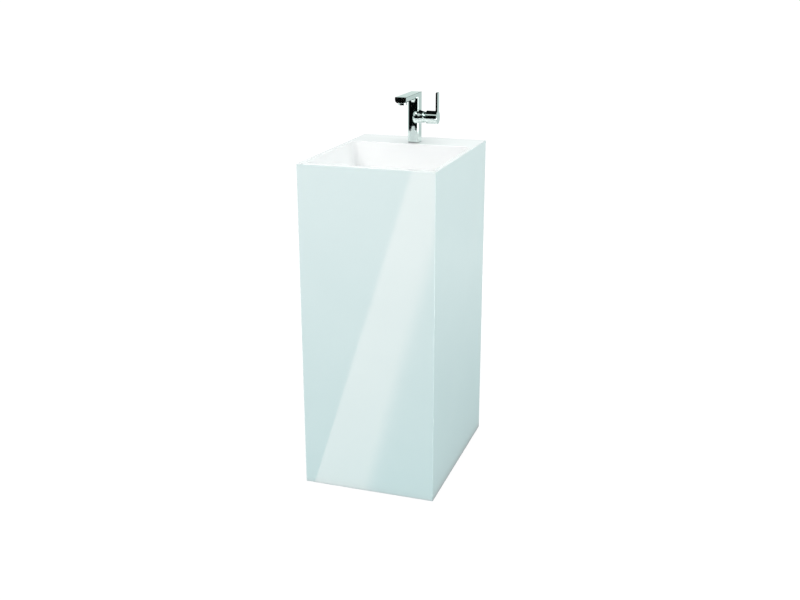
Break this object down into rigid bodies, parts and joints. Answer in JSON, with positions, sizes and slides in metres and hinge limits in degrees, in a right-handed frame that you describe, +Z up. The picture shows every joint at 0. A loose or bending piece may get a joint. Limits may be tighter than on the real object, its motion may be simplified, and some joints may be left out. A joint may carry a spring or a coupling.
{
  "type": "pedestal sink",
  "caption": "Free-standing square column washbasin with a deep rectangular bowl, a rear ledge, a side-lever mixer tap, a pop-up waste and a bottle trap inside.",
  "frame": {"origin": "on the floor under the centre of the column's footprint", "axes": "+Z up, +X to the user's right, +Y towards the wall, so the front panel faces -Y"},
  "size_m": [0.35, 0.473, 0.984],
  "materials": {
    "gloss_white": "gloss gel-coated cast mineral, cool white",
    "sealed_board": "sealed moisture-resistant board, matte",
    "plated_steel": "zinc plated",
    "chrome_plate": "polished chrome",
    "bare_brass": "machined brass",
    "black_rubber": "matte rubber",
    "grey_plastic": "moulded plastic",
    "valve_ceramic": "lapped alumina"
  },
  "bodies": {
    "column": {"basin": "gloss_white", "front_panel": "gloss_white", "left_panel": "gloss_white", "right_panel": "gloss_white", "rear_panel": "gloss_white", "corner_battens": "sealed_board", "base_frame": "sealed_board", "floor_brackets": "plated_steel", "bracket_screws": "plated_steel", "tap_body": "chrome_plate", "tap_gasket": "black_rubber", "tap_stud": "bare_brass", "rubber_washer": "black_rubber", "clamp_washer": "plated_steel", "fixing_nut": "bare_brass", "aerator_housing": "chrome_plate", "aerator_insert": "grey_plastic", "aerator_washer": "black_rubber", "cartridge_body": "grey_plastic", "cartridge_seal": "black_rubber", "fixed_disc": "valve_ceramic", "dome_nut": "chrome_plate", "waste_flange": "chrome_plate", "flange_seal": "black_rubber", "lower_seal": "black_rubber", "waste_backnut": "bare_brass", "click_body": "grey_plastic", "click_spring": "plated_steel", "trap_inlet_nut": "chrome_plate", "trap_inlet_washer": "black_rubber", "dip_tube": "chrome_plate", "trap_top_nut": "chrome_plate", "trap_top_washer": "black_rubber", "trap_body": "chrome_plate", "cup_seal": "black_rubber", "trap_cup": "chrome_plate", "outlet_nut": "chrome_plate", "outlet_washer": "black_rubber", "outlet_pipe": "chrome_plate"},
    "carrier": {"carrier": "grey_plastic", "pivot_pin": "plated_steel"},
    "lever": {"handle": "chrome_plate", "stem": "plated_steel", "grub_screw": "plated_steel", "screw_cover": "grey_plastic"},
    "disc": {"moving_disc": "valve_ceramic", "disc_driver": "grey_plastic"},
    "plug": {"plug_cap": "chrome_plate", "plug_seal": "black_rubber", "plug_stem": "grey_plastic"}
  },
  "joints": [
    {"name": "temperature_turn", "type": "hinge", "parent": "column", "child": "carrier", "pos_m": [0.035, 0.146, 0.918], "axis": [1, 0, 0], "range_deg": [-45, 45]},
    {"name": "lever_tilt", "type": "hinge", "parent": "carrier", "child": "lever", "pos_m": [0.035, 0.146, 0.918], "axis": [0, 1, 0], "range_deg": [0, 18]},
    {"name": "disc_slide", "type": "slide", "parent": "carrier", "child": "disc", "axis": [0, 0, 1], "range_m": [0, 0.003]},
    {"name": "plug_lift", "type": "slide", "parent": "column", "child": "plug", "axis": [0, 0, 1], "range_m": [0, 0.009], "deforming": ["click_spring"]}
  ],
  "couplings": [
    {"joint": "disc_slide", "follows": "lever_tilt", "m_per_rad": 0.0094}
  ]
}
